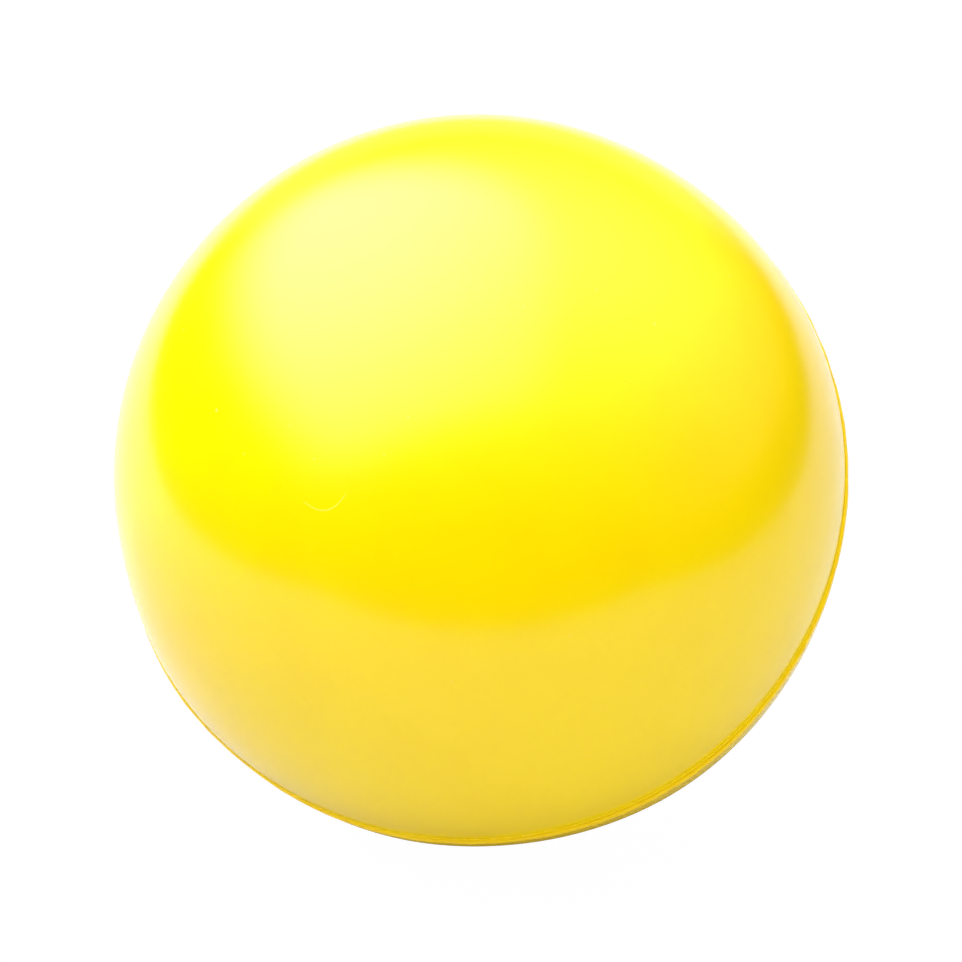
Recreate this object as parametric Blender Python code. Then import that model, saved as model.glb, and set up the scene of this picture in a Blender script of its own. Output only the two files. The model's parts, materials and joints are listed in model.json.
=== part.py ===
"""Moulded foam stress ball, in metres, +Z up, resting on the plane z = 0.

The ball is foamed in a two-part mould. Each half of the mould leaves a dense skin, the two skins
meet at the parting line in a thin trimmed bead of flash, and a soft cellular core fills them.
The gate that the foam was poured through is trimmed off at the back skin's pole.

Every piece is turned about the mould axis, with the ball's centre as its origin. One empty at the
centre then lays the mould axis over to the way the ball lies.
"""

import math

import bmesh
import bpy

# Driving dimensions
DIAMETER = 0.063
SKIN_THICKNESS = 0.0012
CORE_GAP = 0.0003

# Parting line: the bead between the two skins, and the rims that it lies between
BEAD_WIDTH = 0.0004
BEAD_PROUD = 0.0004
BEAD_CREST_STEPS = 6
RIM_GAP = 0.0001
RIM_CHAMFER = 0.0001

# Pour gate, at the pole of the back skin
GATE_DIAMETER = 0.0044
GATE_GAP = 0.0003
GATE_PROUD = 0.00015
GATE_CHAMFER = 0.0002

# How the ball lies: the mould axis leans forwards from the vertical, then turns to the left
LEAN = math.radians(46.6)
TURN = math.radians(10.2)

# Facets: round the mould axis, and from the parting line to a pole
STEPS_AROUND = 48
STEPS_TO_POLE = 12
WELD = 0.000001

RADIUS = DIAMETER / 2
INNER_RADIUS = RADIUS - SKIN_THICKNESS
CORE_RADIUS = INNER_RADIUS - CORE_GAP
RIM_HEIGHT = BEAD_WIDTH / 2 + RIM_GAP
GATE_RADIUS = GATE_DIAMETER / 2
GATE_HOLE_RADIUS = GATE_RADIUS + GATE_GAP

# Linear colours
COAT_YELLOW = (0.90, 0.60, 0.003, 1.0)
FLASH_ORANGE = (0.74, 0.43, 0.004, 1.0)
FOAM_CREAM = (0.86, 0.68, 0.20, 1.0)


def clear_scene():
    """Start from an empty scene."""
    for old in list(bpy.data.objects):
        bpy.data.objects.remove(old, do_unlink=True)


def plastic(name, colour, roughness):
    """A material for moulded foam or its coat."""
    material = bpy.data.materials.new(name)
    material.use_nodes = True
    shader = material.node_tree.nodes["Principled BSDF"]
    shader.inputs["Base Color"].default_value = colour
    shader.inputs["Roughness"].default_value = roughness
    shader.inputs["Metallic"].default_value = 0.0
    return material


def arc(radius, low_height, high_height, steps):
    """Outline points (distance from the axis, height) on a sphere, evenly spaced in latitude."""
    low = math.asin(low_height / radius)
    high = math.asin(high_height / radius)
    latitudes = [low + (high - low) * step / steps for step in range(steps + 1)]
    return [(radius * math.cos(angle), radius * math.sin(angle)) for angle in latitudes]


def turned(name, outline, material, centre, ring=False):
    """Turn an outline about the mould axis into one closed body.

    An outline that isn't a ring starts and ends on the axis.
    """
    shape = bmesh.new()
    points = [shape.verts.new((distance, 0.0, height)) for distance, height in outline]
    pairs = list(zip(points, points[1:]))
    if ring:
        pairs.append((points[-1], points[0]))
    edges = [shape.edges.new(pair) for pair in pairs]
    bmesh.ops.spin(
        shape,
        geom=points + edges,
        cent=(0.0, 0.0, 0.0),
        axis=(0.0, 0.0, 1.0),
        angle=math.tau,
        steps=STEPS_AROUND,
        use_merge=True,
    )
    bmesh.ops.remove_doubles(shape, verts=shape.verts, dist=WELD)
    bmesh.ops.recalc_face_normals(shape, faces=shape.faces)
    mesh = bpy.data.meshes.new(name)
    shape.to_mesh(mesh)
    shape.free()
    mesh.shade_smooth()
    mesh.set_sharp_from_angle(angle=math.radians(30))
    piece = bpy.data.objects.new(name, mesh)
    piece.data.materials.append(material)
    piece.parent = centre
    bpy.context.collection.objects.link(piece)
    return piece


def rim():
    """The chamfered flat rim of a skin, from its inner edge to its outer edge."""
    inner_edge = math.sqrt(INNER_RADIUS**2 - RIM_HEIGHT**2)
    outer_edge = math.sqrt(RADIUS**2 - RIM_HEIGHT**2)
    return [(inner_edge, RIM_HEIGHT), (outer_edge - RIM_CHAMFER, RIM_HEIGHT)]


def front_skin_outline():
    """From the inside of the pole down to the rim, then up the outside to the pole."""
    outside = arc(RADIUS, RIM_HEIGHT + RIM_CHAMFER, RADIUS, STEPS_TO_POLE)
    inside = arc(INNER_RADIUS, INNER_RADIUS, RIM_HEIGHT, STEPS_TO_POLE)
    inside.pop()
    return inside + rim() + outside


def back_skin_outline():
    """Like the front skin, mirrored, with the gate's round hole at its pole."""
    outer_height = math.sqrt(RADIUS**2 - GATE_HOLE_RADIUS**2)
    inner_height = math.sqrt(INNER_RADIUS**2 - GATE_HOLE_RADIUS**2)
    outside = arc(RADIUS, RIM_HEIGHT + RIM_CHAMFER, outer_height, STEPS_TO_POLE)
    inside = arc(INNER_RADIUS, inner_height, RIM_HEIGHT, STEPS_TO_POLE)
    inside.pop()
    return [(distance, -height) for distance, height in inside + rim() + outside]


def bead_outline():
    """A flat strip across the skins' thickness, with a rounded crest outside them."""
    half = BEAD_WIDTH / 2
    shoulder = RADIUS + BEAD_PROUD - half
    crest = []
    for step in range(BEAD_CREST_STEPS + 1):
        angle = math.pi * (step / BEAD_CREST_STEPS - 0.5)
        crest.append((shoulder + half * math.cos(angle), half * math.sin(angle)))
    return [(INNER_RADIUS, -half)] + crest + [(INNER_RADIUS, half)]


def gate_outline():
    """A short stub in the gate's hole, cut off just outside the skin."""
    end = RADIUS + GATE_PROUD
    return [
        (0.0, -INNER_RADIUS),
        (GATE_RADIUS, -INNER_RADIUS),
        (GATE_RADIUS, -end + GATE_CHAMFER),
        (GATE_RADIUS - GATE_CHAMFER, -end),
        (0.0, -end),
    ]


def build():
    """Model the five pieces round the ball's centre."""
    clear_scene()
    centre = bpy.data.objects.new("ball_centre", None)
    centre.location = (0.0, 0.0, RADIUS)
    centre.rotation_euler = (LEAN, 0.0, -TURN)
    bpy.context.collection.objects.link(centre)

    coat = plastic("coat", COAT_YELLOW, 0.34)
    flash = plastic("flash", FLASH_ORANGE, 0.50)
    foam = plastic("foam", FOAM_CREAM, 0.90)

    turned("skin_front_half", front_skin_outline(), coat, centre)
    turned("skin_back_half", back_skin_outline(), coat, centre, ring=True)
    turned("parting_bead", bead_outline(), flash, centre, ring=True)
    core_outline = arc(CORE_RADIUS, -CORE_RADIUS, CORE_RADIUS, 2 * STEPS_TO_POLE)
    turned("foam_core", core_outline, foam, centre)
    turned("gate_plug", gate_outline(), flash, centre)


build()
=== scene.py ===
"""The looks of the moulded foam stress ball, built round its CAD frame.

Fine closed meshes replace the five plain CAD solids: the two satin-coated skins, the thin ridge of flash
between them, the cut gate plug and the cellular core. All five share one gentle out-of-roundness, so they
stay flush.

Lengths are in metres and angles in degrees. Meshes and noise use the mould's own axes: the ball's centre
is the origin and +Z is the mould axis, towards the front skin's pole.
"""

import json
import math

import bmesh
import bpy
from mathutils import Matrix, Vector, noise


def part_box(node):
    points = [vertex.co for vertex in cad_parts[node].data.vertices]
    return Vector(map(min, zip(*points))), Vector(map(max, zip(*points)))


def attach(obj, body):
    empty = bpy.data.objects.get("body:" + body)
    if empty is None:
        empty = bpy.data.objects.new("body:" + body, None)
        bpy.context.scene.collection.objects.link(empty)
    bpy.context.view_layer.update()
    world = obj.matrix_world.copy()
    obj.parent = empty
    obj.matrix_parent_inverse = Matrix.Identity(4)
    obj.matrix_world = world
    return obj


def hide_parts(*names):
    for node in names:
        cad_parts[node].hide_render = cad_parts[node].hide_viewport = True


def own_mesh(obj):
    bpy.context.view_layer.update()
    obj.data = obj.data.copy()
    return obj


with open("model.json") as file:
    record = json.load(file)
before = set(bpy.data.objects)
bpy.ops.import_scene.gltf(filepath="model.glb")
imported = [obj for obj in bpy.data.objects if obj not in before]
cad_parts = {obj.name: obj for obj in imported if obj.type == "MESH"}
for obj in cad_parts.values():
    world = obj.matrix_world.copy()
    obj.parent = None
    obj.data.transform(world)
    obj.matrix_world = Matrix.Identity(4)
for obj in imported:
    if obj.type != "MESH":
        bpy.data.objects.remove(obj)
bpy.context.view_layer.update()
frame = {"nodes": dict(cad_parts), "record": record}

MM = 0.001

# The camera: the ball from in front and above
VIEW_ELEVATION = 30.0
LENS_MM = 250.0
SENSOR_MM = 36.0
BALL_SHARE_OF_VIEW = 0.763
SHIFT_X = 0.001

# Fineness of the meshes
SKIN_ROUND = 480
SKIN_SPACING = 0.4 * MM
LINING_SPACING = 1.2 * MM
BEAD_ROUND = 1920
CORE_ROUND = 480
CORE_SPACING = 0.4 * MM
PLUG_ROUND = 120
PLUG_SPACING = 0.08 * MM
FEWEST_ROUND = 15
CROWDED = 0.7
SHOULDER_STEPS = 5

# Out-of-roundness: where, round the view and away from it, how high, and how wide
LUMPS = (
    (55, 88, 0.12 * MM, 12),
    (84, 88, -0.16 * MM, 18),
    (102, 88, 0.08 * MM, 8),
    (146, 88, 0.08 * MM, 10),
    (167, 88, -0.18 * MM, 10),
    (303, 88, -0.19 * MM, 15),
)
UNDULATION = 0.012 * MM
UNDULATION_PER_METRE = 90.0

# The skins' rims beside the flash
SHOULDER = 0.04 * MM
RIM_CLEARANCE = 0.002 * MM

# The rounded lip of the gate's hole, and the shares of it that its one chamfer point is set back
LIP = 0.12 * MM
LIP_ACROSS = 0.3
LIP_DOWN = 0.1

# The ridge of flash: its usual height, and where it is higher or lower
RIDGE_HEIGHT = 0.27 * MM
RIDGE_LUMPS = (
    (61, 90, 0.20 * MM, 24),
    (332, 90, -0.14 * MM, 22),
    (130, 90, -0.15 * MM, 10),
    (165, 90, -0.24 * MM, 12),
)
CREST_STEPS = 8

# Its hollow feet, which lap over the skins' shoulders
FOOT_RISE = 0.10 * MM
FOOT_REACH = 0.18 * MM
FOOT_EDGE = 0.002 * MM
FOOT_STEPS = 5
SHARP_ANGLE = 55.0

# How uneven its crest is: long waves, short waves as a share of them, and nicks
CREST_WAVES = 0.05 * MM
CREST_WAVES_PER_METRE = 450.0
SHORT_WAVES_SHARE = 0.2
SHORT_WAVES_PER_METRE = 1500.0
NICK_DEPTH = 0.22 * MM
NICK_THRESHOLD = 0.42
NICKS_PER_METRE = 300.0
NICK_OFFSET = Vector((7.0, 3.0, 5.0))

# The foam: cells in the core
CELL_WIDTH = 1.6 * MM
CELL_DEPTH = 0.25 * MM
CELL_WALL_SLOPE = 2.2

# The gate plug: its rounded edge, and the finer cells and tears on its cut end
PLUG_EDGE = 0.18 * MM
PIT_WIDTH = 0.35 * MM
PIT_WALL_SLOPE = 2.0
PIT_OFFSET = Vector((4.0, 9.0, 2.0))
TEAR_DEPTH = 0.07 * MM
TEARS_PER_METRE = 900.0

# Linear colours
COAT_YELLOW = (0.895, 0.645, 0.0003, 1.0)
COAT_DEEPER = (0.880, 0.620, 0.0003, 1.0)
DUST_PALE = (0.950, 0.800, 0.200, 1.0)
SCUFF_DARK = (0.800, 0.480, 0.0030, 1.0)
FLASH_YELLOW = (0.890, 0.610, 0.0003, 1.0)
FLASH_ORANGE = (0.860, 0.560, 0.0003, 1.0)
FOAM_CREAM = (0.860, 0.680, 0.200, 1.0)
# FOAM_SHADED is the cream foam in painted shade, for the hollows of its cells
FOAM_SHADED = (0.560, 0.360, 0.070, 1.0)
SHEET_WHITE = (0.480, 0.480, 0.480, 1.0)
FLOOR_WHITE = (0.120, 0.120, 0.120, 1.0)
SURROUND_WHITE = (1.0, 1.0, 1.0, 1.0)

# The coat's finish: soft patches of the deeper yellow, peel and grain, each as fine as it is per mm
COAT_IOR = 1.5
COAT_ROUGHNESS = (0.175, 0.20)
COAT_ROUGHNESS_PER_MM = 0.25
PATCHES_PER_MM = 0.12
PATCH_SPAN = (0.35, 0.75)
PEEL_PER_MM = 0.7
PEEL_DEPTH = 0.004 * MM
GRAIN_PER_MM = 6.0
GRAIN_DEPTH = 0.0008 * MM

# The flash's finish: smooth at its feet, rougher and streaked above them
FLASH_SPECULAR = 0.35
FLASH_ROUGHNESS = (0.19, 0.30)
FLASH_ROUGHER = 0.10
FLASH_ROUGHNESS_PER_MM = 3.0
STREAKS_PER_MM = 1.1
STREAK_SPAN = (0.35, 0.7)
SMEARS_PER_MM = 1.5
SMEAR_DEPTH = 0.004 * MM

# The foam's finish: painted shade darker down in its cells, and stained here and there by the coat's yellow
FOAM_IOR = 1.4
FOAM_ROUGHNESS = (0.80, 0.95)
FOAM_ROUGHNESS_PER_MM = 2.0
FOAM_WALL_SPAN = (0.02, 0.25)
FOAM_SHADING = 0.5
STAINS_PER_MM = 0.3
STAIN_SPAN = (0.4, 0.8)
STAIN_STRENGTH = 0.5
HOLLOW_SHARE = 0.2

# The part of a soft noise that makes a roughness vary
NOISE_SPAN = (0.3, 0.7)

# Dust on the front skin: where, round the view and away from it, and how wide
DUST = (
    (207, 65, 0.30 * MM),
    (195, 48, 0.42 * MM),
    (186.5, 40.3, 0.22 * MM),
    (196, 32.6, 0.26 * MM),
    (187.5, 27.1, 0.26 * MM),
    (195, 15.7, 0.20 * MM),
    (221.6, 15.2, 0.26 * MM),
    (98, 33.6, 0.22 * MM),
    (284, 29.3, 0.24 * MM),
    (59.7, 29.1, 0.24 * MM),
    (301.5, 37.6, 0.24 * MM),
    (318, 39.8, 0.34 * MM),
    (320.5, 62, 0.26 * MM),
    (69.6, 50, 0.18 * MM),
)
DUST_STRENGTH = 0.35
DUST_RISE = 0.02 * MM
DUST_CORE = 0.4

# A fibre and two scuffs: (where it starts), (where it ends), how far it bends aside in mm, and how wide
FIBRE = ((173.9, 29.2), (175.6, 21.3), -1.2, 0.20 * MM)
FIBRE_STRENGTH = 0.6
SCUFFS = (
    ((324.6, 28.3), (328.0, 29.2), 0.1, 0.14 * MM),
    ((209.5, 24.6), (206.0, 23.2), 0.3, 0.30 * MM),
)
SCUFF_STRENGTH = 0.4

# The share of a stroke's width, either side of its line, that is full, and of its half length where it
# starts to fade
STROKE_CORE = 0.15
STROKE_FADE = 0.85

# The studio's ground: a white sheet that the ball sees and a wide floor that the camera sees. An edge is
# half the width there, and how far the edge is from the ball
SHEET_FRONT = (0.15, 0.15)
SHEET_BACK = (0.24, 0.50)
SHEET_HEIGHT = -0.2 * MM
SHEET_ROUGHNESS = 0.9
FLOOR_EDGE = (40.0, 40.0)
FLOOR_HEIGHT = -0.4 * MM
FLOOR_GLOW = 0.98

# The light tent round the ball. Its lights are given as directions from the ball: azimuth, turning to
# the right from straight behind it, and elevation
TENT_RADIUS = 0.6
TENT_LOWEST = -10.0
TENT_HIGHEST = 89.9
TENT_ROUND = 120
TENT_ROWS = 50
KEY_CORNERS = ((-29.9, 13.8), (20.1, 52.3), (149.9, 50.8), (-129.2, 24.0))
KEY_SOFTNESS = (11.0, 8.0, 8.0, 11.0)
KEY_PEAK = (-55.8, 58.0)
KEY_RADIANCE = 6.9
KEY_SPREAD = 52.5
FILL_PEAK = (80.0, 26.0)
FILL_RADIANCE = 0.37
FILL_SPREAD = 31.0
CEILING_PEAK = (34.0, 72.8)
CEILING_RADIANCE = 2.0
CEILING_SPREAD = 37.4
CARD_RADIANCE = 0.29
CARD_HALF_WIDTH = 32.0
CARD_TOP = 16.0
CARD_SOFTNESS = 6.0
HORIZON_SLOPE = 10.0
HORIZON_SHARE = 0.2

# Light that the room throws back from the front
BOUNCE_FROM = (151.0, 4.0)
BOUNCE_STRENGTH = 1.65
BOUNCE_WIDTH = 60.0


# ---------------------------------------------------------------- the frame's own measures


def corners(node):
    """A CAD node's corners."""
    return [vertex.co.copy() for vertex in frame["nodes"][node].data.vertices]


def middle(points):
    """The mean of some points."""
    return sum(points, Vector()) / len(points)


def reach(node):
    """The nearest and the farthest corner of a CAD node, as distances from the ball's centre."""
    distances = [(corner - CENTRE).length for corner in corners(node)]
    return min(distances), max(distances)


CENTRE = middle([Vector(corner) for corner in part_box("foam_core")])
INNER_RADIUS, RADIUS = reach("skin_front_half")
CORE_RADIUS = reach("foam_core")[1]
MOULD_AXIS = (CENTRE - middle(corners("gate_plug"))).normalized()
MOULD_SIDE = Vector((0.0, 0.0, 1.0)).cross(MOULD_AXIS).normalized()
MOULD_RISE = MOULD_AXIS.cross(MOULD_SIDE)
TO_MOULD = Matrix((MOULD_SIDE, MOULD_RISE, MOULD_AXIS))
FROM_MOULD = Matrix.Translation(CENTRE) @ TO_MOULD.transposed().to_4x4()

BEAD_HALF = max(abs((corner - CENTRE).dot(MOULD_AXIS)) for corner in corners("parting_bead"))
GATE_END = max((CENTRE - corner).dot(MOULD_AXIS) for corner in corners("gate_plug"))
GATE_RADIUS = max((CENTRE - corner).cross(MOULD_AXIS).length for corner in corners("gate_plug"))


def looking():
    """Unit vectors from the ball: right and up in the view, and towards the camera."""
    tilt = math.radians(VIEW_ELEVATION)
    right = Vector((1.0, 0.0, 0.0))
    up = Vector((0.0, math.sin(tilt), math.cos(tilt)))
    return right, up, Vector((0.0, -math.cos(tilt), math.sin(tilt)))


VIEW_RIGHT, VIEW_UP, VIEW_TOWARDS = looking()
BALL_HALF_ANGLE = math.atan(BALL_SHARE_OF_VIEW * 0.5 * SENSOR_MM / LENS_MM)
CAMERA_DISTANCE = RADIUS / math.sin(BALL_HALF_ANGLE)


def facing(clock, away):
    """A direction: clock turns round the view, clockwise from the right, and away is from the view."""
    turn = math.radians(clock)
    lean = math.radians(away)
    across = VIEW_RIGHT * math.cos(turn) - VIEW_UP * math.sin(turn)
    return across * math.sin(lean) + VIEW_TOWARDS * math.cos(lean)


def compass(azimuth, elevation):
    """A direction: azimuth turns to the right from straight behind the ball."""
    turn = math.radians(azimuth)
    rise = math.radians(elevation)
    return Vector((math.sin(turn) * math.cos(rise), math.cos(turn) * math.cos(rise), math.sin(rise)))


# ---------------------------------------------------------------- shape


def hills(table):
    """A table of lumps with its directions worked out in the mould's axes."""
    lumps = []
    for clock, away, height, width in table:
        lumps.append((TO_MOULD @ facing(clock, away), height, math.radians(width)))
    return lumps


LUMP_HILLS = hills(LUMPS)
RIDGE_HILLS = hills(RIDGE_LUMPS)


def hill_height(direction, table):
    """The sum of smooth lumps at a direction."""
    total = 0.0
    for top, height, width in table:
        angle = direction.angle(top)
        total += height * math.exp(-0.5 * (angle / width) ** 2)
    return total


def swell(direction):
    """How far the moulding stands out from a true ball."""
    undulation = noise.noise(direction * RADIUS * UNDULATION_PER_METRE)
    return hill_height(direction, LUMP_HILLS) + UNDULATION * undulation


def no_relief(direction, distance, height):
    """A surface with nothing of its own on it."""
    return 0.0


def ring_points(distance, height, count, relief):
    """One ring of an outline, and the undisturbed places of its points."""
    points = []
    places = []
    for step in range(count):
        turn = math.tau * step / count
        place = Vector((distance * math.cos(turn), distance * math.sin(turn), height))
        direction = place.normalized()
        push = swell(direction) + relief(direction, distance, height)
        points.append(place + direction * push)
        places.append(place)
    return points, places


def bridge(first, second):
    """Faces between two rings of the same count, of half the count, or one of them a single point."""
    if len(first) < len(second):
        return [face[::-1] for face in bridge(second, first)]
    count = len(first)
    faces = []
    if len(second) == 1:
        for step in range(count):
            faces.append((first[step], first[(step + 1) % count], second[0]))
    elif len(second) == count:
        for step in range(count):
            after = (step + 1) % count
            faces.append((first[step], first[after], second[after], second[step]))
    else:
        for step in range(len(second)):
            near, mid, far = first[2 * step], first[2 * step + 1], first[(2 * step + 2) % count]
            here, there = second[step], second[(step + 1) % len(second)]
            faces.append((near, mid, here))
            faces.append((mid, there, here))
            faces.append((mid, far, there))
    return faces


def turned(name, outline, relief, material, closed=False):
    """A closed piece turned about the mould axis; outline holds (distance, height, count) rings."""
    points = []
    places = []
    rings = []
    for distance, height, count in outline:
        ring, undisturbed = ring_points(distance, height, count, relief)
        rings.append(list(range(len(points), len(points) + count)))
        points += ring
        places += undisturbed
    faces = []
    for first, second in zip(rings, rings[1:]):
        faces += bridge(first, second)
    if closed:
        faces += bridge(rings[-1], rings[0])

    mesh = bpy.data.meshes.new(name)
    mesh.from_pydata(points, [], faces)
    rest = mesh.attributes.new("place", "FLOAT_VECTOR", "POINT")
    rest.data.foreach_set("vector", [value / MM for place in places for value in place])
    shape = bmesh.new()
    shape.from_mesh(mesh)
    bmesh.ops.recalc_face_normals(shape, faces=shape.faces)
    shape.to_mesh(mesh)
    shape.free()
    mesh.transform(FROM_MOULD)
    mesh.shade_smooth()
    mesh.set_sharp_from_angle(angle=math.radians(SHARP_ANGLE))
    mesh.materials.append(material)
    piece = bpy.data.objects.new(name, mesh)
    bpy.context.scene.collection.objects.link(piece)
    return piece


def thinned(count, distance, spacing):
    """A ring's count, halved where its steps would crowd."""
    crowded = math.tau * distance / count < CROWDED * spacing
    return count // 2 if count > FEWEST_ROUND and crowded else count


def rows(radius, low, high, spacing, most):
    """Rings of a dome between two heights; their count halves as they shrink."""
    start = math.asin(max(-1.0, low / radius))
    end = math.asin(min(1.0, high / radius))
    steps = max(2, round(abs(end - start) * radius / spacing))
    outline = []
    count = most
    for step in range(steps + 1):
        latitude = start + (end - start) * step / steps
        distance = radius * math.cos(latitude)
        count = thinned(count, distance, spacing)
        outline.append((distance, radius * math.sin(latitude), count))
    if high >= radius:
        outline[-1] = (0.0, radius, 1)
    return outline


def shoulder(distance, height):
    """The rounded edge from a skin's flat rim, at height, to its outside, at distance."""
    outline = []
    for step in range(SHOULDER_STEPS):
        turn = math.radians(90.0 * step / SHOULDER_STEPS)
        inset = SHOULDER * (1.0 - math.sin(turn))
        lift = SHOULDER * (1.0 - math.cos(turn))
        outline.append((distance - inset, height + lift, SKIN_ROUND))
    return outline


def skin_outline(gate_hole):
    """From inside the pole to the rim, round its shoulder, and up the outside to the pole.

    A gate hole, if it isn't zero, is the radius of the hole at the pole.
    """
    rim = BEAD_HALF + RIM_CLEARANCE
    outer_rim = math.sqrt(RADIUS**2 - (rim + SHOULDER) ** 2)
    inner_top = math.sqrt(INNER_RADIUS**2 - gate_hole**2)
    outer_top = math.sqrt(RADIUS**2 - (gate_hole + LIP) ** 2) if gate_hole else RADIUS
    inside = rows(INNER_RADIUS, rim, inner_top, LINING_SPACING, SKIN_ROUND)
    outside = rows(RADIUS, rim + SHOULDER, outer_top, SKIN_SPACING, SKIN_ROUND)
    outline = inside[::-1] + shoulder(outer_rim, rim) + outside
    if gate_hole:
        count = outside[-1][2]
        outline.append((gate_hole + LIP_ACROSS * LIP, outer_top - LIP_DOWN * LIP, count))
        outline.append((gate_hole, outer_top - LIP, count))
    return outline


def make_front_skin(material):
    """The dense skin that the upper mould half leaves."""
    return turned("front_skin", skin_outline(0.0), no_relief, material)


def make_back_skin(material):
    """The dense skin of the lower mould half, with the gate's hole at its pole."""
    outline = skin_outline(GATE_RADIUS + RIM_CLEARANCE)
    mirrored = [(distance, -height, count) for distance, height, count in outline]
    return turned("back_skin", mirrored, no_relief, material, closed=True)


def ridge_relief(direction, distance, height):
    """Scales the ridge to its height here, with waves along its crest and a few nicks."""
    above = (distance - RADIUS) / RIDGE_HEIGHT
    if above <= 0.0:
        return 0.0
    around = direction * RADIUS
    tall = RIDGE_HEIGHT + hill_height(direction, RIDGE_HILLS)
    tall += CREST_WAVES * noise.noise(around * CREST_WAVES_PER_METRE)
    tall += SHORT_WAVES_SHARE * CREST_WAVES * noise.noise(around * SHORT_WAVES_PER_METRE)
    nick = noise.noise(around * NICKS_PER_METRE + NICK_OFFSET)
    if nick > NICK_THRESHOLD:
        tall -= NICK_DEPTH * (nick - NICK_THRESHOLD) / (1.0 - NICK_THRESHOLD)
    return above * (tall - RIDGE_HEIGHT)


def ridge_outline():
    """A strip across the skins' thickness, then a ridge outside them with hollow feet and a round crest."""
    flank = [(INNER_RADIUS, BEAD_HALF), (RADIUS - SHOULDER, BEAD_HALF), (RADIUS, BEAD_HALF + SHOULDER)]
    for step in range(FOOT_STEPS + 1):
        turn = math.radians(90.0 * step / FOOT_STEPS)
        rise = FOOT_EDGE + FOOT_RISE * (1.0 - math.cos(turn))
        flank.append((RADIUS + rise, BEAD_HALF + FOOT_REACH * (1.0 - math.sin(turn))))
    foot_top = FOOT_EDGE + FOOT_RISE
    crest = []
    for step in range(1, CREST_STEPS):
        turn = math.radians(180.0 * step / CREST_STEPS - 90.0)
        rise = foot_top + (RIDGE_HEIGHT - foot_top) * math.cos(turn)
        crest.append((RADIUS + rise, BEAD_HALF * math.sin(turn)))
    mirrored = [(distance, -side) for distance, side in flank]
    return [(distance, side, BEAD_ROUND) for distance, side in mirrored + crest + flank[::-1]]


def make_ridge(material):
    """The trimmed flash at the parting line."""
    return turned("flash_ridge", ridge_outline(), ridge_relief, material, closed=True)


def cell_relief(direction, distance, height):
    """Hollows of open foam cells between thin walls."""
    place = direction * distance
    distances, _ = noise.voronoi(place / CELL_WIDTH)
    hollow = min(1.0, CELL_WALL_SLOPE * (distances[1] - distances[0]))
    return -CELL_DEPTH * hollow


def make_core(material):
    """The soft cellular foam that fills the skins."""
    dome = rows(CORE_RADIUS, 0.0, CORE_RADIUS, CORE_SPACING, CORE_ROUND)
    below = [(distance, -height, count) for distance, height, count in dome[:0:-1]]
    return turned("cellular_core", below + dome, cell_relief, material)


def plug_relief(direction, distance, height):
    """A cut and slightly torn end; the plug's sides stay plain."""
    if height > -RADIUS:
        return 0.0
    place = direction * RADIUS
    distances, _ = noise.voronoi(place / PIT_WIDTH + PIT_OFFSET)
    pits = min(1.0, PIT_WALL_SLOPE * (distances[1] - distances[0]))
    return -TEAR_DEPTH * pits + 0.5 * TEAR_DEPTH * noise.noise(place * TEARS_PER_METRE)


def plug_outline():
    """From inside the ball, down the plug's wall, round its edge and across its cut end."""
    outline = [(0.0, -INNER_RADIUS, 1)]
    for share in (0.25, 0.5, 0.75, 1.0):
        outline.append((GATE_RADIUS * share, -INNER_RADIUS, PLUG_ROUND))
    wall = GATE_END - PLUG_EDGE
    for share in (0.3, 0.6, 1.0):
        outline.append((GATE_RADIUS, -INNER_RADIUS - share * (wall - INNER_RADIUS), PLUG_ROUND))
    for step in range(1, 4):
        turn = math.radians(30.0 * step)
        inset = PLUG_EDGE * (1.0 - math.cos(turn))
        outline.append((GATE_RADIUS - inset, -wall - PLUG_EDGE * math.sin(turn), PLUG_ROUND))
    count = PLUG_ROUND
    distance = GATE_RADIUS - PLUG_EDGE - PLUG_SPACING
    while distance > PLUG_SPACING:
        count = thinned(count, distance, PLUG_SPACING)
        outline.append((distance, -GATE_END, count))
        distance -= PLUG_SPACING
    outline.append((0.0, -GATE_END, 1))
    return outline


def make_plug(material):
    """The stub of the pour gate, cut off just outside the back skin."""
    return turned("gate_stub", plug_outline(), plug_relief, material)


# ---------------------------------------------------------------- materials


def add(tree, kind, inputs=None, output=0, **settings):
    """One shader node; each input is a value or another node's output. Returns its output."""
    made = tree.nodes.new(kind)
    for key, value in settings.items():
        setattr(made, key, value)
    for key, value in (inputs or {}).items():
        if isinstance(value, bpy.types.NodeSocket):
            tree.links.new(value, made.inputs[key])
        else:
            made.inputs[key].default_value = value
    return made.outputs[output]


def calculate(tree, operation, first, second=0.0):
    """A Math node."""
    return add(tree, "ShaderNodeMath", {0: first, 1: second}, operation=operation)


def mix(tree, factor, first, second):
    """A mix of two colours."""
    inputs = {0: factor, 6: first, 7: second}
    return add(tree, "ShaderNodeMix", inputs, output=2, data_type="RGBA")


def span(tree, value, low, high, to_low=0.0, to_high=1.0):
    """Carries a value from one span to another, clamped and eased."""
    inputs = {"Value": value, "From Min": low, "From Max": high, "To Min": to_low, "To Max": to_high}
    return add(tree, "ShaderNodeMapRange", inputs, interpolation_type="SMOOTHSTEP")


def cloud(tree, place, per_mm, detail=2.0):
    """Soft noise, from 0 to 1, of a given fineness."""
    inputs = {"Vector": place, "Scale": per_mm, "Detail": detail}
    return add(tree, "ShaderNodeTexNoise", inputs)


def new_material(name):
    """A material and its tree."""
    material = bpy.data.materials.new(name)
    material.use_nodes = True
    return material, material.node_tree


def placed_material(name, ior):
    """A material, its tree, its shader and the place in millimetres that its noise uses."""
    material, tree = new_material(name)
    shader = tree.nodes["Principled BSDF"]
    shader.inputs["IOR"].default_value = ior
    place = add(tree, "ShaderNodeAttribute", output="Vector", attribute_name="place")
    return material, tree, shader, place


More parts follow.
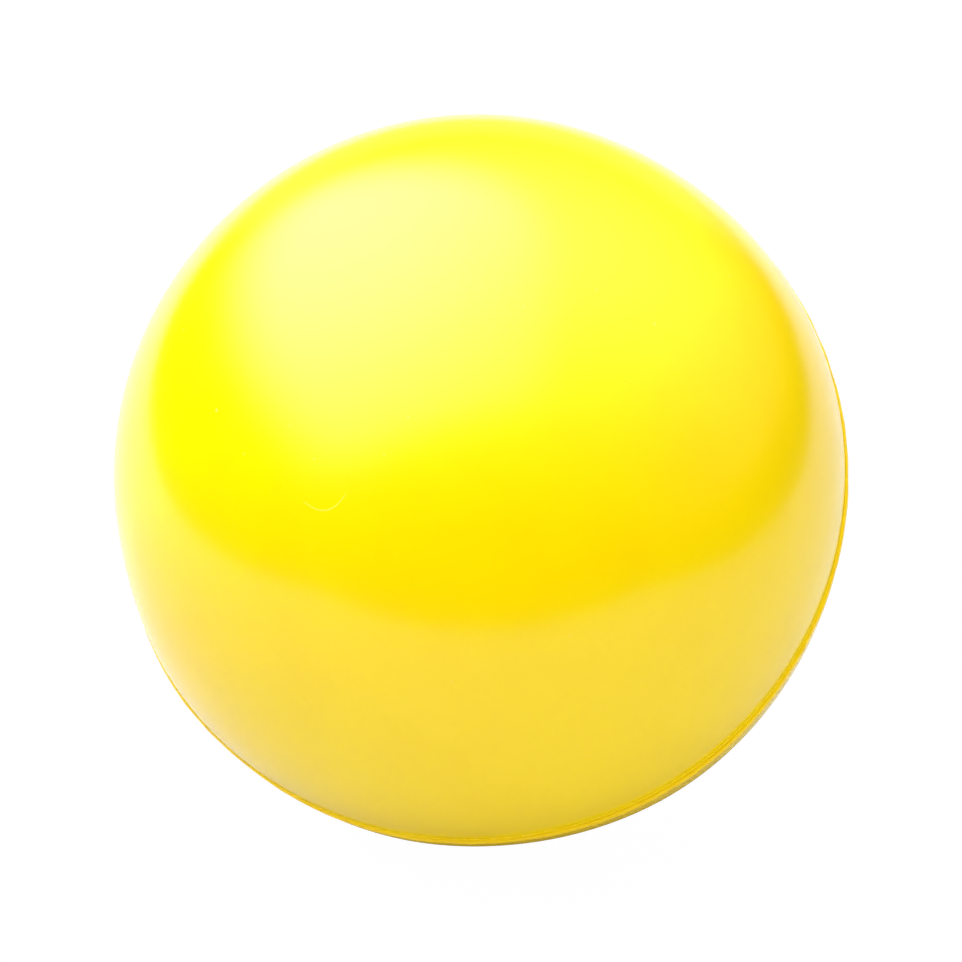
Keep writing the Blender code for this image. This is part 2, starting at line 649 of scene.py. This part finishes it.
def glowing(tree, strength, kind, inputs=None):
    """Makes a material's surface an emission added to another shader."""
    tree.nodes.remove(tree.nodes["Principled BSDF"])
    light = add(tree, "ShaderNodeEmission", {"Strength": strength})
    both = add(tree, "ShaderNodeAddShader", {0: light, 1: add(tree, kind, inputs)})
    tree.links.new(both, tree.nodes["Material Output"].inputs["Surface"])


def uneven(tree, place, per_mm, low, high, detail=2.0):
    """A value that soft noise of a given fineness carries between two values."""
    return span(tree, cloud(tree, place, per_mm, detail), *NOISE_SPAN, low, high)


def feed(tree, shader, colour, roughness, heights):
    """Links a shader's colour, roughness and chain of bumps, given as (height, distance) pairs."""
    tree.links.new(colour, shader.inputs["Base Color"])
    tree.links.new(roughness, shader.inputs["Roughness"])
    normal = None
    for height, distance in heights:
        inputs = {"Height": height, "Distance": distance}
        if normal is not None:
            inputs["Normal"] = normal
        normal = add(tree, "ShaderNodeBump", inputs)
    tree.links.new(normal, shader.inputs["Normal"])


def mould_place(clock, away):
    """The place on the ball, in millimetres of the mould's axes, where the camera sees a mark.

    away is the angle at which the mark would show from very far away; the camera, being near, sees
    the same share of the ball's width at a slightly smaller angle.
    """
    sight = math.atan(math.sin(math.radians(away)) * math.tan(BALL_HALF_ANGLE))
    nearer = math.asin(math.sin(sight) * CAMERA_DISTANCE / RADIUS) - sight
    return TO_MOULD @ facing(clock, math.degrees(nearer)) * (RADIUS / MM)


def dot_mask(tree, place, clock, away, width):
    """1 on a speck and 0 round it."""
    inputs = {0: place, 1: mould_place(clock, away)}
    gap = add(tree, "ShaderNodeVectorMath", inputs, output="Value", operation="DISTANCE")
    radius = 0.5 * width / MM
    return span(tree, gap, radius, DUST_CORE * radius)


def dot_product(tree, first, second):
    """The dot product of two vectors."""
    inputs = {0: first, 1: second}
    return add(tree, "ShaderNodeVectorMath", inputs, output="Value", operation="DOT_PRODUCT")


def stroke_mask(tree, place, start, end, bow, width):
    """1 on a thin curved stroke between two directions of the view; bow is how far it bends aside."""
    first = mould_place(*start)
    last = mould_place(*end)
    along = last - first
    half = 0.5 * along.length
    centre = (first + last) / 2
    along.normalize()
    across = centre.normalized().cross(along)
    offset = add(tree, "ShaderNodeVectorMath", {0: place, 1: centre}, operation="SUBTRACT")
    share = calculate(tree, "DIVIDE", dot_product(tree, offset, along), half)
    bent = calculate(tree, "SUBTRACT", 1.0, calculate(tree, "POWER", share, 2.0))
    arch = calculate(tree, "MULTIPLY", bent, bow)
    gap = calculate(tree, "ABSOLUTE", calculate(tree, "SUBTRACT", dot_product(tree, offset, across), arch))
    line = span(tree, gap, 0.5 * width / MM, STROKE_CORE * width / MM)
    inside = span(tree, calculate(tree, "ABSOLUTE", share), 1.0, STROKE_FADE)
    this_side = calculate(tree, "GREATER_THAN", dot_product(tree, place, centre), 0.0)
    return calculate(tree, "MULTIPLY", calculate(tree, "MULTIPLY", line, inside), this_side)


def strongest(tree, masks):
    """The highest of several masks."""
    best = masks[0]
    for mask in masks[1:]:
        best = calculate(tree, "MAXIMUM", best, mask)
    return best


def coat_material():
    """Satin yellow coat: faint patches, peel and grain, a few specks of dust, a fibre and two scuffs."""
    material, tree, shader, place = placed_material("satin_coat", COAT_IOR)
    patches = span(tree, cloud(tree, place, PATCHES_PER_MM, detail=3.0), *PATCH_SPAN)
    colour = mix(tree, patches, COAT_YELLOW, COAT_DEEPER)
    dust = [dot_mask(tree, place, *speck) for speck in DUST]
    dust.append(calculate(tree, "MULTIPLY", stroke_mask(tree, place, *FIBRE), FIBRE_STRENGTH))
    dust_mask = calculate(tree, "MULTIPLY", strongest(tree, dust), DUST_STRENGTH)
    colour = mix(tree, dust_mask, colour, DUST_PALE)
    scuffs = [stroke_mask(tree, place, *scuff) for scuff in SCUFFS]
    scuff_mask = calculate(tree, "MULTIPLY", strongest(tree, scuffs), SCUFF_STRENGTH)
    colour = mix(tree, scuff_mask, colour, SCUFF_DARK)
    roughness = uneven(tree, place, COAT_ROUGHNESS_PER_MM, *COAT_ROUGHNESS, detail=4.0)
    peel = cloud(tree, place, PEEL_PER_MM)
    grain = cloud(tree, place, GRAIN_PER_MM)
    bumps = [(peel, PEEL_DEPTH), (grain, GRAIN_DEPTH), (dust_mask, DUST_RISE)]
    feed(tree, shader, colour, roughness, bumps)
    return material


def flash_material():
    """The flash: the same coat at its feet, and more orange, rougher and slightly smeared above them."""
    material, tree, shader, place = placed_material("trimmed_flash", COAT_IOR)
    shader.inputs["Specular IOR Level"].default_value = FLASH_SPECULAR
    streaks = span(tree, cloud(tree, place, STREAKS_PER_MM, detail=3.0), *STREAK_SPAN)
    streaked = mix(tree, streaks, FLASH_YELLOW, FLASH_ORANGE)
    out = add(tree, "ShaderNodeVectorMath", {0: place}, output="Value", operation="LENGTH")
    foot = (RADIUS / MM, (RADIUS + FOOT_RISE) / MM)
    colour = mix(tree, span(tree, out, *foot), COAT_YELLOW, streaked)
    base = span(tree, out, *foot, *FLASH_ROUGHNESS)
    rougher = uneven(tree, place, FLASH_ROUGHNESS_PER_MM, 0.0, FLASH_ROUGHER)
    roughness = calculate(tree, "ADD", base, rougher)
    feed(tree, shader, colour, roughness, [(cloud(tree, place, SMEARS_PER_MM), SMEAR_DEPTH)])
    return material


def foam_material(name, cell_width):
    """Cut or open foam: cream, with painted shade darker down in its cells, and matt."""
    material, tree, shader, place = placed_material(name, FOAM_IOR)
    inputs = {"Vector": place, "Scale": MM / cell_width}
    cells = add(tree, "ShaderNodeTexVoronoi", inputs, feature="DISTANCE_TO_EDGE")
    # Painted shade: the cream foam turns to its shaded copy down in each cell's hollow
    depth = span(tree, cells, *FOAM_WALL_SPAN)
    shading = calculate(tree, "MULTIPLY", depth, FOAM_SHADING)
    cell_shaded_colour = mix(tree, shading, FOAM_CREAM, FOAM_SHADED)
    stains = span(tree, cloud(tree, place, STAINS_PER_MM), *STAIN_SPAN, 0.0, STAIN_STRENGTH)
    colour = mix(tree, stains, cell_shaded_colour, COAT_DEEPER)
    roughness = uneven(tree, place, FOAM_ROUGHNESS_PER_MM, *FOAM_ROUGHNESS)
    walls = calculate(tree, "SUBTRACT", 1.0, depth)
    feed(tree, shader, colour, roughness, [(walls, HOLLOW_SHARE * cell_width)])
    return material


# ---------------------------------------------------------------- pieces on the frame


def settle(piece, node):
    """Puts a finished piece on its body, in place of its CAD node."""
    body = next(name for name, nodes in frame["record"]["behaviour"]["bodies"].items() if node in nodes)
    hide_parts(node)
    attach(piece, body)
    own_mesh(piece)


def make_ball():
    """All five pieces."""
    coat = coat_material()
    settle(make_front_skin(coat), "skin_front_half")
    settle(make_back_skin(coat), "skin_back_half")
    settle(make_ridge(flash_material()), "parting_bead")
    settle(make_plug(foam_material("cut_gate_foam", PIT_WIDTH)), "gate_plug")
    settle(make_core(foam_material("cellular_foam", CELL_WIDTH)), "foam_core")


# ---------------------------------------------------------------- studio


def eased(value):
    """0 below 0, 1 above 1, and a smooth step between."""
    share = min(1.0, max(0.0, value))
    return share * share * (3.0 - 2.0 * share)


def fading(direction, peak, radiance, spread):
    """A light that fades with the angle from its peak."""
    angle = math.degrees(direction.angle(compass(*peak)))
    return radiance * math.exp(-((angle / spread) ** 2))


def soft_box_share(direction):
    """1 inside the key light's four soft edges and 0 outside."""
    lamp_corners = [compass(*corner) for corner in KEY_CORNERS]
    inwards = sum(lamp_corners, Vector())
    share = 1.0
    for corner, after, softness in zip(lamp_corners, lamp_corners[1:] + lamp_corners[:1], KEY_SOFTNESS):
        edge = corner.cross(after).normalized()
        edge *= math.copysign(1.0, edge.dot(inwards))
        past_edge = math.degrees(math.asin(direction.dot(edge)))
        share *= eased(past_edge / (2.0 * softness) + 0.5)
    return share


def tent_radiance(direction):
    """What the tent shows in a direction: the key, a weak fill, the ceiling and a dim card behind."""
    key = soft_box_share(direction)
    elevation = math.degrees(math.asin(direction.z))
    azimuth = math.degrees(math.atan2(direction.x, direction.y))
    rest = fading(direction, FILL_PEAK, FILL_RADIANCE, FILL_SPREAD)
    rest += fading(direction, CEILING_PEAK, CEILING_RADIANCE, CEILING_SPREAD)
    rest *= eased(HORIZON_SLOPE * direction.z + HORIZON_SHARE)
    card = eased((CARD_HALF_WIDTH - abs(azimuth)) / CARD_SOFTNESS)
    card *= eased((CARD_TOP - elevation) / CARD_SOFTNESS)
    rest += CARD_RADIANCE * card
    return key * fading(direction, KEY_PEAK, KEY_RADIANCE, KEY_SPREAD) + (1.0 - key) * rest


def make_tent():
    """A dome that glows as the tent does. The ball sees it, and the camera and shadows don't."""
    points = []
    directions = []
    for row in range(TENT_ROWS + 1):
        elevation = TENT_LOWEST + (90.0 - TENT_LOWEST) * row / TENT_ROWS
        for column in range(TENT_ROUND):
            direction = compass(360.0 * column / TENT_ROUND, min(elevation, TENT_HIGHEST))
            directions.append(direction)
            points.append(CENTRE + direction * TENT_RADIUS)
    faces = []
    for row in range(TENT_ROWS):
        for column in range(TENT_ROUND):
            after = (column + 1) % TENT_ROUND
            low = row * TENT_ROUND
            high = low + TENT_ROUND
            faces.append((low + column, low + after, high + after, high + column))
    mesh = bpy.data.meshes.new("light_tent")
    mesh.from_pydata(points, [], faces)
    glow = mesh.attributes.new("glow", "FLOAT", "POINT")
    glow.data.foreach_set("value", [tent_radiance(direction) for direction in directions])

    material, tree = new_material("light_tent")
    strength = add(tree, "ShaderNodeAttribute", output="Fac", attribute_name="glow")
    glowing(tree, strength, "ShaderNodeBsdfTransparent")
    mesh.materials.append(material)
    tent = bpy.data.objects.new("light_tent", mesh)
    tent.visible_camera = False
    tent.visible_shadow = False
    bpy.context.scene.collection.objects.link(tent)


def flat_sheet(name, front, back, height, material):
    """A flat sheet under the ball; front and back are (half its width there, distance of that edge)."""
    mesh = bpy.data.meshes.new(name)
    points = [(-front[0], -front[1]), (front[0], -front[1]), (back[0], back[1]), (-back[0], back[1])]
    mesh.from_pydata([(CENTRE.x + x, CENTRE.y + y, height) for x, y in points], [], [(0, 1, 2, 3)])
    mesh.materials.append(material)
    sheet = bpy.data.objects.new(name, mesh)
    bpy.context.scene.collection.objects.link(sheet)
    return sheet


def make_floor():
    """A white sheet that lights and shows in the ball, and a pale floor that the camera sees."""
    paper, tree = new_material("white_sheet")
    shader = tree.nodes["Principled BSDF"]
    shader.inputs["Base Color"].default_value = SHEET_WHITE
    shader.inputs["Roughness"].default_value = SHEET_ROUGHNESS
    sheet = flat_sheet("white_sheet", SHEET_FRONT, SHEET_BACK, SHEET_HEIGHT, paper)
    sheet.visible_camera = False
    sheet.visible_shadow = False

    pale, tree = new_material("pale_floor")
    glowing(tree, FLOOR_GLOW, "ShaderNodeBsdfDiffuse", {"Color": FLOOR_WHITE})
    ground = flat_sheet("pale_floor", FLOOR_EDGE, FLOOR_EDGE, FLOOR_HEIGHT, pale)
    ground.visible_diffuse = False
    ground.visible_glossy = False
    ground.visible_shadow = False


def make_world():
    """White behind everything for the camera, and dark for every other ray."""
    world = bpy.data.worlds.new("white_surround")
    world.use_nodes = True
    tree = world.node_tree
    background = tree.nodes["Background"]
    background.inputs["Color"].default_value = SURROUND_WHITE
    for_camera = add(tree, "ShaderNodeLightPath", output="Is Camera Ray")
    tree.links.new(for_camera, background.inputs["Strength"])
    bpy.context.scene.world = world
    bpy.context.scene.view_settings.view_transform = "Standard"


def make_bounce():
    """The room's broad soft light from the front, which reaches the diffuse colour and no reflection."""
    lamp = bpy.data.lights.new("room_bounce", "SUN")
    lamp.energy = BOUNCE_STRENGTH
    lamp.angle = math.radians(BOUNCE_WIDTH)
    lamp.cycles.use_multiple_importance_sampling = False
    bounce = bpy.data.objects.new("room_bounce", lamp)
    bounce.rotation_euler = compass(*BOUNCE_FROM).to_track_quat("Z", "Y").to_euler()
    bounce.visible_glossy = False
    bpy.context.scene.collection.objects.link(bounce)


def make_camera():
    """The camera in front of and above the ball."""
    camera = bpy.data.objects.new("camera", bpy.data.cameras.new("camera"))
    camera.data.lens = LENS_MM
    camera.data.sensor_width = SENSOR_MM
    camera.data.shift_x = SHIFT_X
    camera.location = CENTRE + VIEW_TOWARDS * CAMERA_DISTANCE
    camera.rotation_euler = (math.radians(90.0 - VIEW_ELEVATION), 0.0, 0.0)
    bpy.context.scene.collection.objects.link(camera)
    bpy.context.scene.camera = camera


make_camera()
make_world()
make_bounce()
make_tent()
make_floor()
make_ball()
